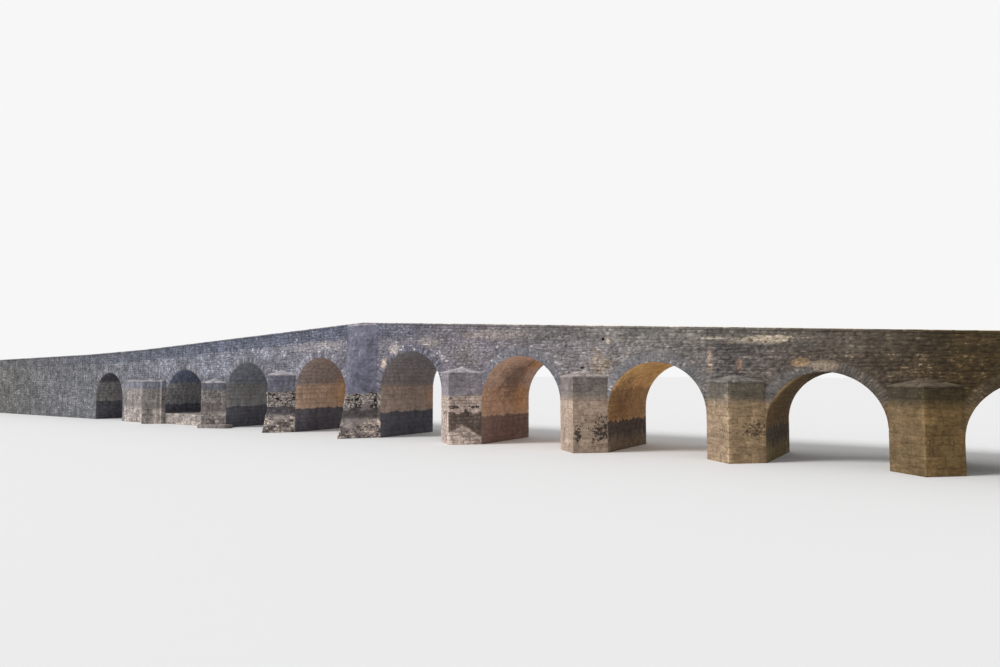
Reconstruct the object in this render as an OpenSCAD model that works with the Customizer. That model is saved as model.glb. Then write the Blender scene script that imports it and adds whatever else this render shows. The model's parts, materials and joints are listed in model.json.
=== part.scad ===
// Stone river bridge with nine round arches, as a 1:10 scale model, so 1 mm here is 10 mm on the bridge.
// +X runs along the bridge, +Y across it and +Z up. The water line is at z = 0, below the middle.

/* [Arches, in order along +X] */
// Clear span of each arch
arch_span = [420, 525, 477, 485, 485, 512, 510, 493, 490]; // [300:1:560]
// Depth of each arch's crown below the top of the parapet
crown_depth = [175, 199, 188, 203, 174, 176, 178, 191, 184]; // [170:1:240]
// Thickness of the ring of wedge stones, from soffit to back
ring_t = 52; // [35:1:60]

/* [Piers, in order along +X] */
// Width of each pier along the bridge
pier_w = [620, 255, 277, 300, 288, 274, 270, 267]; // [230:1:700]
// Length along the bridge of the masonry block behind each end arch
abutment_w = 180; // [100:1:300]

/* [Line of the road] */
// Height of the parapet's top over the crest
crest_z = 736; // [700:1:800]
// Fall from the crest towards +X, in percent
right_slope_percent = 4.77; // [2:0.01:5.5]
// Fall from the crest towards -X, in percent
left_slope_percent = 5.33; // [3:0.01:6]
// Fall past the first pier towards -X, in percent
landing_slope_percent = 3.5; // [1:0.01:4.5]
// Fall along the far end of the left approach, in percent
approach_slope_percent = 1.75; // [0:0.01:4]
// Length of the left approach past the first arch
left_len = 1904; // [800:1:2400]
// Part of it that keeps the grade of the stretch past the first pier
landing_len = 103; // [40:1:700]
// Length of the right approach past the last arch
right_len = 450; // [250:1:900]

/* [Width and walls] */
// Width of the bridge over its two faces
bridge_w = 539; // [420:1:700]
// Thickness of the walls over the arches
wall_t = 60; // [50:1:90]
// Thickness of the walls that close the ends of the fill
end_wall_t = 50; // [30:1:80]
// Depth of the paving
paving_t = 14; // [8:1:20]
// Height of the parapet over the paving, with its coping
parapet_h = 85; // [60:1:110]
// Thickness of the parapet
parapet_t = 45; // [35:1:50]
// Thickness of the coping stones
coping_t = 12; // [8:1:20]
// Overhang of the coping past the parapet's faces
coping_lip = 3; // [1:0.5:6]

/* [Cutwaters] */
// Reach of a cutwater's nose past the face of the bridge
nose_out = 123; // [80:1:160]
// Depth of each pier's ledge below the top of the parapet, and 0 where there is no ledge
ledge_depth = [0, 325, 305, 0, 293, 276, 259, 237]; // [0:1:350]
// Rise of a cap from its edge to the wall
cap_rise = 32; // [15:1:50]
// Height of a cap's upright edge
cap_edge = 6; // [3:1:12]
// Overhang of a cap past its cutwater
cap_lip = 4; // [2:0.5:8]
// Reach of the crest pier's tall buttress at its top, under the slab
buttress_out = 30; // [20:1:60]
// Part of the crest pier's face, on its +X side, that the buttress leaves bare
buttress_gap = 30; // [10:1:60]
// Thickness of the slab on the tall buttress
crest_cap_t = 12; // [8:1:20]
// Depth of that slab's top below the crest of the parapet
crest_cap_drop = 10; // [4:1:14]
// Rise of the first pier's ledge from its edge to the wall
apron_rise = 10; // [4:1:20]

/* [Road drain] */
// Distance of the drain through the parapets from the crest, towards +X
drain_from_crest = 1686; // [1550:1:1800]
// Width and height of the drain
drain_size = 14; // [8:1:25]
// Height of the drain's sill over the road
drain_sill = 8; // [2:1:20]

/* [Feet] */
// Height of the foot of the crest pier's buttress, which leans back more than the buttress over it
crest_foot_h = 260; // [150:1:300]
// Reach of that foot's nose at the water line
crest_foot_out = 205; // [150:1:240]
// Reach of the buttress's nose where it leaves the foot
crest_shoulder_out = 135; // [95:1:145]
// Height of the spread foot of the next cutwater towards -X
side_foot_h = 160; // [100:1:200]
// Spread of that foot's nose at the water line, past the cutwater
side_foot_out = 42; // [15:1:60]
// Height of the low footing round the second pier
footing_h = 25; // [15:1:40]
// Spread of that footing past the cutwater
footing_out = 28; // [15:1:45]
// Spread of that footing towards +X, under the next arch
footing_side = 80; // [40:1:110]
// Height of the thicker wall in front of the wide first pier
apron_h = 334; // [250:1:400]
// Reach of that wall past the face
apron_out = 30; // [20:1:60]
// Length of that wall
apron_len = 540; // [400:1:600]
// Width of the cutwater on the first pier, beside the second arch
first_nose_w = 240; // [200:1:300]
// Height of the sill across the foot of the second arch
sill_h = 85; // [40:1:120]
// Height of the upright edge at the bottom of a spread foot
foot_edge = 1; // [0.5:0.5:6]

/* [Hidden] */
$fn = 96;
arch_count = len(arch_span);
pier_count = len(pier_w);
// Index of the pier under the crest of the road, which carries the tall buttress
crest_pier = 3;
// Indices of the pier with the low footing and of the arch whose foot is closed by a sill
footed_pier = 1;
sill_arch = 1;

// Sum of the first n values of a list
function sum_first(list, n) = n == 0 ? 0 : list[n - 1] + sum_first(list, n - 1);

total_len = left_len + sum_first(arch_span, arch_count) + sum_first(pier_w, pier_count) + right_len;
left_end = -total_len / 2;
right_end = total_len / 2;
face = bridge_w / 2;

function arch_x(i) = left_end + left_len + sum_first(arch_span, i) + sum_first(pier_w, i) + arch_span[i] / 2;
function arch_r(i) = arch_span[i] / 2;
function pier_left(k) = arch_x(k) + arch_r(k);
function pier_mid(k) = pier_left(k) + pier_w[k] / 2;

// The parapet's top line: a crest, a straight fall on each side, then two flatter stretches at the left
crest_x = pier_mid(crest_pier);
landing_x = pier_mid(0);
approach_x = arch_x(0) - arch_r(0) - landing_len;
landing_z = crest_z - left_slope_percent / 100 * (crest_x - landing_x);
approach_z = landing_z - landing_slope_percent / 100 * (landing_x - approach_x);
knees = [approach_x, landing_x, crest_x];
function top_z(x) =
    x >= crest_x ? crest_z - right_slope_percent / 100 * (x - crest_x)
    : x >= landing_x ? crest_z - left_slope_percent / 100 * (crest_x - x)
    : x >= approach_x ? landing_z - landing_slope_percent / 100 * (landing_x - x)
    : approach_z - approach_slope_percent / 100 * (approach_x - x);

function spring_z(i) = top_z(arch_x(i)) - crown_depth[i] - arch_r(i);
function ledge_z(k) = top_z(pier_mid(k)) - ledge_depth[k];

last_arch = arch_count - 1;
left_abutment_x = arch_x(0) - arch_r(0) - abutment_w;
right_abutment_x = arch_x(last_arch) + arch_r(last_arch);

// The first pier's thicker wall and its cutwater end at the edge of the second arch
apron_right = pier_left(0) + pier_w[0];
first_nose_x = apron_right - first_nose_w / 2;

// Depth of the bed of the paving below the parapet's top
bed_depth = parapet_h + paving_t;
// Height at which the slab on the tall buttress is seated
crest_seat_z = crest_z - crest_cap_drop - crest_cap_t;
drain_x = crest_x + drain_from_crest;
drain_z = top_z(drain_x) - parapet_h + drain_sill;

ring_colour = [0.55, 0.53, 0.51];
wall_colour = [0.44, 0.41, 0.41];
pier_colour = [0.52, 0.46, 0.42];
fill_colour = [0.36, 0.32, 0.28];
road_colour = [0.48, 0.46, 0.43];
coping_colour = [0.62, 0.60, 0.57];

// Points of the top line from a to b, lowered by drop
function top_line(a, b, drop) =
    [for (x = concat([a], [for (k = knees) if (k > a && k < b) k], [b])) [x, top_z(x) - drop]];
function reversed(list) = [for (i = [len(list) - 1 : -1 : 0]) list[i]];

// Stands a drawing in X and Z upright and carries it across the bridge from y0 to y1
module across(y0, y1) {
    translate([0, y1, 0]) rotate([90, 0, 0]) linear_extrude(y1 - y0) children();
}

// Makes the near piece and its mirror image on the far side
module both_sides() {
    children();
    mirror([0, 1, 0]) children();
}

// A band that follows the top line from a to b, between two depths below it
module band(a, b, upper, lower) {
    polygon(concat(top_line(a, b, upper), reversed(top_line(a, b, lower))));
}

// Half ring of an arch, from springing to springing
module ring_outline(i) {
    translate([arch_x(i), spring_z(i)]) intersection() {
        difference() {
            circle(arch_r(i) + ring_t);
            circle(arch_r(i));
        }
        translate([-arch_span[i], 0]) square([2 * arch_span[i], arch_span[i]]);
    }
}

// Back of an arch ring, cut out of what lies over it
module ring_back(i) {
    translate([arch_x(i), spring_z(i)]) circle(arch_r(i) + ring_t);
}

// Masonry over a pier, from the crown of one arch to the crown of the next
module haunch(k) {
    a = arch_x(k);
    b = arch_x(k + 1);
    difference() {
        polygon(concat([[b, spring_z(k + 1)], [pier_mid(k), spring_z(k + 1)],
            [pier_mid(k), spring_z(k)], [a, spring_z(k)]], top_line(a, b, bed_depth)));
        ring_back(k);
        ring_back(k + 1);
    }
}

// Masonry from the left end to the crown of the first arch
module left_haunch(from_x) {
    a = arch_x(0);
    back = left_abutment_x;
    difference() {
        polygon(concat([[a, spring_z(0)], [back, spring_z(0)], [back, 0], [from_x, 0]],
            top_line(from_x, a, bed_depth)));
        ring_back(0);
    }
}

// Masonry from the crown of the last arch to the right end
module right_haunch(to_x) {
    a = arch_x(last_arch);
    back = right_abutment_x + abutment_w;
    difference() {
        polygon(concat([[to_x, 0], [back, 0], [back, spring_z(last_arch)], [a, spring_z(last_arch)]],
            top_line(a, to_x, bed_depth)));
        ring_back(last_arch);
    }
}

// Near and far face walls of one drawing
module face_walls() {
    both_sides() across(-face, -face + wall_t) children();
}

// Plan of a pointed cutwater on the near face, grown by lip
module nose_plan(half_w, out, lip = 0) {
    polygon([[-half_w - lip, 0], [0, -out - lip], [half_w + lip, 0]]);
}

// Plan of the tall buttress or of its foot, with its nose at the given reach
module buttress_plan(k, out, lip = 0) {
    left = -pier_w[k] / 2 - lip;
    right = pier_w[k] / 2 - buttress_gap + lip;
    polygon([[left, 0], [(left + right) / 2, -out - lip], [right, 0]]);
}

// The near coping from a to b
module coping_bar(a, b) {
    across(-face - coping_lip, -face + parapet_t + coping_lip) band(a, b, 0, coping_t);
}

module arch(i) {
    color(ring_colour) across(-face, face) ring_outline(i);
}

// A pier, stepped at its middle where the arches on its two sides spring at different heights
module pier(k) {
    left = pier_left(k);
    right = left + pier_w[k];
    middle = pier_mid(k);
    color(pier_colour) across(-face, face)
        polygon([[left, 0], [right, 0], [right, spring_z(k + 1)], [middle, spring_z(k + 1)],
            [middle, spring_z(k)], [left, spring_z(k)]]);
}

module spandrel(k) {
    color(wall_colour) face_walls() haunch(k);
}

module left_approach_walls() {
    color(wall_colour) face_walls() left_haunch(left_end);
}

module right_approach_walls() {
    color(wall_colour) face_walls() right_haunch(right_end);
}

// The block behind an end arch, up to that arch's springing
module abutment(side_x, height) {
    color(pier_colour) across(-face, face) translate([side_x, 0]) square([abutment_w, height]);
}

module end_walls() {
    color(wall_colour) for (x = [left_end, right_end - end_wall_t])
        across(-face + wall_t, face - wall_t) intersection() {
            band(left_end, right_end, bed_depth, bed_depth + crest_z);
            translate([x, 0]) square([end_wall_t, crest_z]);
        }
}

module core_fill() {
    color(fill_colour) across(-face + wall_t, face - wall_t) union() {
        left_haunch(left_end + end_wall_t);
        for (k = [0 : pier_count - 1]) haunch(k);
        right_haunch(right_end - end_wall_t);
    }
}

module roadway() {
    color(road_colour) across(-face + parapet_t, face - parapet_t)
        band(left_end, right_end, parapet_h, bed_depth);
}

// The drain's square hole, right through both parapets
module drain_cut() {
    translate([drain_x - drain_size / 2, -bridge_w, drain_z]) cube([drain_size, 2 * bridge_w, drain_size]);
}

module parapets(a, b) {
    color(wall_colour) difference() {
        both_sides() across(-face, -face + parapet_t) band(a, b, coping_t, bed_depth);
        drain_cut();
    }
}

module copings(a, b) {
    color(coping_colour) both_sides() coping_bar(a, b);
}

module cutwater(k) {
    color(pier_colour) both_sides() translate([pier_mid(k), -face, 0])
        linear_extrude(ledge_z(k)) nose_plan(pier_w[k] / 2, nose_out);
}

// The first pier's cutwater stands on its thicker wall, close to the second arch
module first_cutwater() {
    color(pier_colour) both_sides() intersection() {
        translate([first_nose_x, -face, 0])
            linear_extrude(apron_h) nose_plan(first_nose_w / 2, nose_out);
        translate([left_end, -face - 2 * nose_out, 0])
            cube([total_len, 2 * nose_out - apron_out, apron_h]);
    }
}

// The cutwater beside the crest pier, with a foot that spreads towards the water line
module spread_cutwater(k) {
    half_w = pier_w[k] / 2;
    color(pier_colour) both_sides() translate([pier_mid(k), -face, 0]) {
        linear_extrude(ledge_z(k)) nose_plan(half_w, nose_out);
        hull() {
            linear_extrude(foot_edge) nose_plan(half_w, nose_out + side_foot_out);
            linear_extrude(side_foot_h) nose_plan(half_w, nose_out);
        }
    }
}

// The tall pointed buttress at the crest, which leans back from its foot up to the parapet's coping
module buttress(k) {
    color(pier_colour) both_sides() difference() {
        translate([pier_mid(k), -face, 0]) {
            hull() {
                linear_extrude(foot_edge) buttress_plan(k, crest_foot_out);
                linear_extrude(crest_foot_h) buttress_plan(k, crest_shoulder_out);
            }
            hull() {
                linear_extrude(crest_foot_h) buttress_plan(k, crest_shoulder_out);
                linear_extrude(crest_seat_z) buttress_plan(k, buttress_out);
            }
        }
        coping_bar(left_end, right_end);
    }
}

// A low half pyramid that sheds water from a cutwater to its two sides
module cap(half_w, out) {
    rim = [[-half_w, 0], [0, -out], [half_w, 0]];
    polyhedron(
        points = concat([for (p = rim) [p.x, p.y, 0]], [for (p = rim) [p.x, p.y, cap_edge]],
            [[0, 0, cap_edge + cap_rise]]),
        faces = [[0, 1, 2], [1, 0, 3, 4], [2, 1, 4, 5], [4, 3, 6], [5, 4, 6], [0, 2, 5, 6, 3]]);
}

// The slab on the tall buttress, against the outer edge of the coping
module crest_cap(k) {
    difference() {
        translate([pier_mid(k), -face, crest_seat_z])
            linear_extrude(crest_cap_t) buttress_plan(k, buttress_out, cap_lip);
        coping_bar(left_end, right_end);
    }
}

// The sloping ledge on the first pier's thicker wall
module apron_ledge() {
    edge_y = apron_out + cap_lip;
    translate([apron_right, -face, apron_h]) rotate([90, 0, -90]) linear_extrude(apron_len)
        polygon([[0, 0], [edge_y, 0], [edge_y, cap_edge], [0, cap_edge + apron_rise]]);
}

// The cap of the first pier's cutwater, in front of that ledge
module first_cap() {
    difference() {
        translate([first_nose_x, -face, apron_h]) cap(first_nose_w / 2 + cap_lip, nose_out + cap_lip);
        translate([left_end, -face - apron_out - cap_lip, 0]) cube([total_len, face, crest_z]);
    }
}

module cutwater_caps() {
    color(coping_colour) both_sides() {
        for (k = [0 : pier_count - 1])
            if (ledge_depth[k] > 0)
                translate([pier_mid(k), -face, ledge_z(k)]) cap(pier_w[k] / 2 + cap_lip, nose_out + cap_lip);
        crest_cap(crest_pier);
        apron_ledge();
        first_cap();
    }
}

// The thicker wall in front of the wide first pier
module pier_1_apron() {
    color(pier_colour) both_sides() translate([apron_right - apron_len, -face - apron_out, 0])
        cube([apron_len, apron_out, apron_h]);
}

// A low footing round the second pier's cutwater, wider under the next arch
module pier_2_footing() {
    half_w = pier_w[footed_pier] / 2;
    side = half_w + footing_side;
    color(pier_colour) both_sides() translate([pier_mid(footed_pier), -face, 0]) linear_extrude(footing_h)
        difference() {
            polygon([[-half_w - footing_out, 0], [0, -nose_out - footing_out],
                [side, -nose_out / 2], [side, 0]]);
            nose_plan(half_w, nose_out);
        }
}

// A low wall that closes the foot of the second arch from face to face
module arch_2_sill() {
    color(pier_colour) across(-face, face) translate([arch_x(sill_arch) - arch_r(sill_arch), 0])
        square([arch_span[sill_arch], sill_h]);
}

for (i = [0 : arch_count - 1]) arch(i);
for (k = [0 : pier_count - 1]) pier(k);
for (k = [0 : pier_count - 1]) spandrel(k);
left_approach_walls();
right_approach_walls();
abutment(left_abutment_x, spring_z(0));  // left_abutment
abutment(right_abutment_x, spring_z(last_arch));  // right_abutment
end_walls();
core_fill();
roadway();
parapets(left_end, landing_x);  // parapets_approach
parapets(landing_x, crest_x);  // parapets_rise
parapets(crest_x, right_end);  // parapets_fall
copings(left_end, landing_x);  // copings_approach
copings(landing_x, crest_x);  // copings_rise
copings(crest_x, right_end);  // copings_fall
first_cutwater();  // cutwater_1
cutwater(1);  // cutwater_2
spread_cutwater(2);  // cutwater_3
buttress(crest_pier);  // buttress_4
for (k = [4 : pier_count - 1]) cutwater(k);
cutwater_caps();
pier_1_apron();
pier_2_footing();
arch_2_sill();
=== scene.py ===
# Stone arch bridge, a 1:10 model: camera, light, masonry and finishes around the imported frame
import json
import math
from types import SimpleNamespace

import bpy
import numpy as np
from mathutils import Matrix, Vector

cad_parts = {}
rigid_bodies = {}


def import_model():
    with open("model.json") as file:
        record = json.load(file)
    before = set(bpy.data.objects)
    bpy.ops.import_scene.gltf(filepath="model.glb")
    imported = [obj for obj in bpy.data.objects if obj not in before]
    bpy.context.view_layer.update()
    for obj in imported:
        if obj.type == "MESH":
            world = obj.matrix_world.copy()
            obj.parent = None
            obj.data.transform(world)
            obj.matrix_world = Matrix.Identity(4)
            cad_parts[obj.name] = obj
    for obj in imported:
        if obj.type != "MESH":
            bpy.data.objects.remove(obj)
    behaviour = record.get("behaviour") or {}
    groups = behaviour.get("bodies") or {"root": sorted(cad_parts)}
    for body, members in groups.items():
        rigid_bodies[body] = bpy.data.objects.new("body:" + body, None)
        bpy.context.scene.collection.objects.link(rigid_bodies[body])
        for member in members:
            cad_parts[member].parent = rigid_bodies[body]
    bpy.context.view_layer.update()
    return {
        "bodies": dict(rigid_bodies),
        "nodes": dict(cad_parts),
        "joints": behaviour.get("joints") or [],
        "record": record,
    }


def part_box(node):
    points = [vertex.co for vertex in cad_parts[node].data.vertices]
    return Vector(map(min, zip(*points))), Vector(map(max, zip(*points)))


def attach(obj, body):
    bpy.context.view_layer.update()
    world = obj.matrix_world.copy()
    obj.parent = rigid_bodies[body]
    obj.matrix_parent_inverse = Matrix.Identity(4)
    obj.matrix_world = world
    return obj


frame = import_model()
nodes = frame["nodes"]
mm = 0.001
samePlace = 0.5 * mm
firstCourse = 0.5 * mm
print("frame loaded with", len(nodes), "nodes")

# The photograph's camera, solved from the arch feet and crowns
view = {"place": (3.6754, -3.6578, 0.41), "heading": (-0.53818, 0.84283), "pitchUp": 3.18,
        "focalPixels": 707.4158, "imageWidth": 1000, "sensorWidth": 36.0}

# Soft light from the left of the camera, with an even sky
light = {"sky": 0.55, "sun": 2.7, "sunAngle": 20, "sunFrom": (-0.56, -0.60, 0.60),
         "floorTone": 0.78, "backdropTone": 0.93}


def newObject(name, data):
    made = bpy.data.objects.new(name, data)
    bpy.context.scene.collection.objects.link(made)
    return made


def makeCamera():
    data = bpy.data.cameras.new("camera")
    data.sensor_width = view["sensorWidth"]
    data.lens = view["focalPixels"] / view["imageWidth"] * view["sensorWidth"]
    camera = newObject("camera", data)
    pitch = math.radians(view["pitchUp"])
    hx, hy = view["heading"]
    aim = Vector((hx * math.cos(pitch), hy * math.cos(pitch), math.sin(pitch)))
    camera.location = view["place"]
    camera.rotation_euler = aim.to_track_quat("-Z", "Y").to_euler()
    bpy.context.scene.camera = camera


makeCamera()
bpy.context.scene.view_settings.view_transform = "Standard"
print("camera set")


# Sizes read from the frame

def boxOf(name):
    low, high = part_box(name)
    return np.array(low), np.array(high)


def nodePoints(name):
    mesh = nodes[name].data
    points = np.empty(len(mesh.vertices) * 3)
    mesh.vertices.foreach_get("co", points)
    return points.reshape(-1, 3)


def pointsAt(points, axis, value, near=samePlace):
    return points[np.abs(points[:, axis] - value) < near]


def lowest(points, axis):
    return points[points[:, axis].argmin()]


def highest(points, axis):
    return points[points[:, axis].argmax()]


def named(start):
    found = [n for n in nodes if n.startswith(start) and n[len(start):].isdigit()]
    return sorted(found, key=lambda n: int(n[len(start):]))


faceY = boxOf("spandrel_1")[1][1]
leftEnd, rightEnd = boxOf("left_approach_walls")[0][0], boxOf("right_approach_walls")[1][0]
cutwaters = named("cutwater_")
pierEdges = [boxOf(n)[i][0] for n in named("pier_") for i in (0, 1)]
openingEdges = [boxOf("left_abutment")[1][0]] + pierEdges + [boxOf("right_abutment")[0][0]]
arches = []
for i, name in enumerate(named("arch_")):
    low, high = boxOf(name)
    radius = (openingEdges[2 * i + 1] - openingEdges[2 * i]) / 2
    arches.append({"x": (low[0] + high[0]) / 2, "spring": low[2], "radius": radius,
                   "outer": (high[0] - low[0]) / 2})

copingPoints = np.concatenate([nodePoints(n) for n in nodes if n.startswith("copings_")])
topX = np.unique(copingPoints[:, 0].round(4))
atStation = [pointsAt(copingPoints, 0, x)[:, 2] for x in topX]
topZ = np.array([z.max() for z in atStation])
copingT = topZ[0] - atStation[0].min()
copingLip = np.abs(copingPoints[:, 1]).max() - faceY
parapetPoints = nodePoints("parapets_approach")
parapetT = faceY - np.abs(parapetPoints[:, 1]).min()
roadDepth = topZ[0] - pointsAt(nodePoints("roadway"), 0, leftEnd)[:, 2].max()


def topLine(x):
    return np.interp(x, topX, topZ)


# Stones: each is an outline of eight points in the two directions of its surface, raised in rows

unitOutline = np.array([(-1, -1), (0, -1), (1, -1), (1, 0), (1, 1), (0, 1), (-1, 1), (-1, 0)], float)
sides = len(unitOutline)
flatRise = ((0.0, -1.0), (1.0, 1.0))
roundRise = ((0.0, -1.0), (0.35, 0.62), (1.0, 1.0))

# Lengths are in millimetres of the model: height and length of a stone, the joint round it, its relief, the
# sink of its foot, the bevel of its edge and jolt, how far it lies out of its course. rough is the share by
# which points stray, gaps the share of stones that have fallen out, split the share of cells laid as two
# thin stones; round draws the corners in, tilt leans the face and crown raises its middle.
plainStone = {"rough": 0.04, "sink": 2.0, "tilt": 0.01, "crown": 0.15, "gaps": 0.0, "split": 0.0,
              "round": 0.0, "jolt": 0.0, "rise": roundRise}
rubble = dict(plainStone, height=(11, 22), length=(14, 54), rough=0.24, joint=0.6, relief=1.0, bevel=1.9,
              tilt=0.03, crown=0.5, split=0.22, jolt=0.4, rise=flatRise)
parapetRubble = dict(rubble, height=(13, 20), length=(18, 60), rough=0.20, relief=0.9, split=0.15)
ringBlock = dict(plainStone, width=15, rough=0.10, joint=0.9, relief=1.7, bevel=1.3, tilt=0.02)
smoothRing = dict(ringBlock, rough=0.08, joint=0.4, relief=1.0, bevel=1.4)
vaultBlock = dict(plainStone, length=(34, 70), rough=0.07, joint=0.4, relief=0.7, sink=1.5, bevel=1.2,
                  tilt=0.006, crown=0.12, rise=flatRise)
sideBlock = dict(vaultBlock, height=(24, 40), length=(50, 100))
cutwaterBlock = dict(plainStone, height=(30, 44), length=(50, 92), joint=0.35, relief=0.8, bevel=1.4)
wornBlock = dict(cutwaterBlock, height=(17, 30), length=(28, 66), rough=0.13, joint=0.7, relief=1.5,
                 tilt=0.03, split=0.15)
hollowBlock = dict(wornBlock, height=(12, 21), length=(18, 46), rough=0.06, joint=0.3, split=0.25)
buttressBlock = dict(cutwaterBlock, height=(28, 40), length=(44, 80))
footRubble = dict(cutwaterBlock, height=(12, 26), length=(14, 44), rough=0.26, joint=1.4, relief=3.0,
                  tilt=0.08, crown=0.5, gaps=0.05, split=0.25, round=0.6, jolt=1.5)
erodedRubble = dict(footRubble, height=(10, 20), length=(10, 34), rough=0.34, joint=0.3, relief=4.5,
                    bevel=2.0, tilt=0.16, gaps=0.10, split=0.30, round=0.8, jolt=4.0)
capSlab = dict(plainStone, height=(60, 80), length=(50, 80), joint=0.6, relief=2.2, sink=5.0, bevel=1.8,
               crown=0.10)


# Lines between courses from low to high, with heights drawn at random and then fitted
def courseLines(rng, low, high, height):
    mean = sum(height) / 2 * mm
    count = max(1, round((high - low) / mean))
    steps = rng.uniform(height[0], height[1], count)
    return low + (high - low) * np.concatenate([[0], np.cumsum(steps) / steps.sum()])


# One row (u0, u1, v0, v1) for each stone: every course is cut at random lengths
def courseCells(rng, low, high, lines, length):
    rows = []
    for v0, v1 in zip(lines[:-1], lines[1:]):
        count = int((high - low) / (min(length) * mm)) + 2
        steps = rng.uniform(length[0], length[1], count) * mm
        cuts = low + np.cumsum(steps) - steps[0] * rng.uniform(0.1, 0.9)
        cuts = cuts[(cuts > low + 0.4 * min(length) * mm) & (cuts < high - 0.4 * min(length) * mm)]
        cuts = np.concatenate([[low], cuts, [high]])
        band = np.full(len(cuts) - 1, v0), np.full(len(cuts) - 1, v1)
        rows.append(np.stack([cuts[:-1], cuts[1:], *band], 1))
    return np.concatenate(rows)


def coursedCells(rng, u0, u1, v0, v1, look):
    return courseCells(rng, u0, u1, courseLines(rng, v0, v1, look["height"]), look["length"])


# Some cells are cut into two thin ones. Each then has eight points round its middle, the corners drawn in a
# little and every point strayed.
def outlinesOf(cells, rng, look):
    twin = rng.uniform(0, 1, len(cells)) < look["split"]
    cut = cells[:, 2] + (cells[:, 3] - cells[:, 2]) * rng.uniform(0.36, 0.64, len(cells))
    lower, upper = cells[twin].copy(), cells[twin].copy()
    lower[:, 3] = upper[:, 2] = cut[twin]
    cells = np.concatenate([cells[~twin], lower, upper])
    middle = np.stack([cells[:, 0] + cells[:, 1], cells[:, 2] + cells[:, 3]], 1) / 2
    half = np.stack([cells[:, 1] - cells[:, 0], cells[:, 3] - cells[:, 2]], 1) / 2
    middle = middle + rng.normal(0, look["jolt"] * mm, middle.shape)
    stray = 1 - look["rough"] * rng.uniform(-0.25, 1, (len(cells), sides, 2))
    corner = np.where(np.abs(unitOutline).sum(1) > 1.5, 1 - 0.24 * look["round"], 1.0)[:, None]
    return middle[:, None] + half[:, None] * unitOutline * corner * stray


# The outline drawn in by gap on all sides, as a share of its own half width and half height
def drawnIn(outline, gap):
    low, high = outline.min(1), outline.max(1)
    middle, half = (low + high) / 2, np.maximum((high - low) / 2, 0.1 * mm)
    return middle[:, None] + (outline - middle[:, None]) * np.clip(1 - gap / half, 0.12, 1)[:, None]


# Area by the sum of cross products of neighbouring points
def areaOf(outline):
    u, v = outline[..., 0], outline[..., 1]
    return np.abs((u * np.roll(v, -1, 1) - np.roll(u, -1, 1) * v).sum(1)) / 2


# A stone is its outline below the bed, then drawn in and lifted row by row, and closed by a middle point;
# place turns surface directions u, v and height h into x, y, z
def layStones(pile, outline, place, look, rng, mirror=False):
    outline = outline[rng.uniform(0, 1, len(outline)) >= look["gaps"]]
    if len(outline) == 0:
        return
    count = len(outline)
    outline = drawnIn(outline, look["joint"] * mm / 2)
    middle = outline.mean(1)
    relief = look["relief"] * mm * rng.uniform(0.45, 1.0, count)
    tilt = rng.normal(0, look["tilt"], (count, 2))
    tone = np.repeat(rng.uniform(0, 1, (count, 1)), len(look["rise"]) * sides + 1, 1)
    rows = []
    for inset, share in look["rise"]:
        row = drawnIn(outline, inset * look["bevel"] * mm)
        lean = ((row - middle[:, None]) * tilt[:, None]).sum(2) * max(share, 0)
        lift = relief[:, None] * share + lean if share > 0 else np.full(row.shape[:2], -look["sink"] * mm)
        rows.append(np.concatenate([row, lift[..., None]], 2))
    peak = np.concatenate([middle, (relief * (1 + look["crown"]))[:, None]], 1)
    local = np.concatenate(rows + [peak[:, None]], 1)
    points = np.stack(place(local[..., 0], local[..., 1], local[..., 2]), -1)
    foot, tip = (np.stack(place(middle[:, 0], middle[:, 1], np.full(count, h)), -1) for h in (0, mm))
    last = (len(look["rise"]) - 1) * sides
    turn = np.cross(points[:, last] - points[:, -1], points[:, last + 1] - points[:, -1])
    inward = (turn * (tip - foot)).sum(1).mean() < 0
    if mirror:
        points[..., 1] *= -1
    if inward != mirror:
        rings = points[:, :-1].reshape(count, -1, sides, 3)[:, :, ::-1]
        points[:, :-1] = rings.reshape(count, -1, 3)
    pile.append((points, tone))


def layCells(pile, cells, place, look, rng, mirror=False):
    layStones(pile, outlinesOf(cells, rng, look), place, look, rng, mirror)


# All stones of a pile share one pattern of faces: quads between rows, a fan on top and one face below
def stoneFaces(count, perStone):
    rows = (perStone - 1) // sides
    k = np.arange(sides)
    nextK = (k + 1) % sides
    quads = [np.stack([r * sides + k, r * sides + nextK, (r + 1) * sides + nextK, (r + 1) * sides + k], 1)
             for r in range(rows - 1)]
    fan = np.stack([(rows - 1) * sides + k, (rows - 1) * sides + nextK, np.full(sides, perStone - 1)], 1)
    pattern = np.concatenate([np.concatenate(quads).ravel(), fan.ravel(), k[::-1]])
    sizes = np.concatenate([np.full(sides * (rows - 1), 4), np.full(sides, 3), [sides]])
    loops = (pattern[None] + np.arange(count)[:, None] * perStone).ravel()
    return loops, np.tile(sizes, count)


def meshFrom(name, points, loops, sizes, tone, material):
    mesh = bpy.data.meshes.new(name)
    mesh.vertices.add(len(points))
    mesh.vertices.foreach_set("co", points.astype(np.float32).ravel())
    mesh.loops.add(len(loops))
    mesh.loops.foreach_set("vertex_index", loops.astype(np.int32))
    mesh.polygons.add(len(sizes))
    mesh.polygons.foreach_set("loop_start", np.concatenate([[0], np.cumsum(sizes)[:-1]]).astype(np.int32))
    mesh.attributes.new("tone", "FLOAT", "POINT").data.foreach_set("value", tone.astype(np.float32))
    mesh.update(calc_edges=True)
    mesh.shade_smooth()
    mesh.materials.append(material)
    piece = newObject(name, mesh)
    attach(piece, "root")
    triangles = int((sizes - 2).sum())
    totals["triangles"] += triangles
    print(f"{name}: {triangles} triangles")
    return piece


totals = {"triangles": 0}


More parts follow.
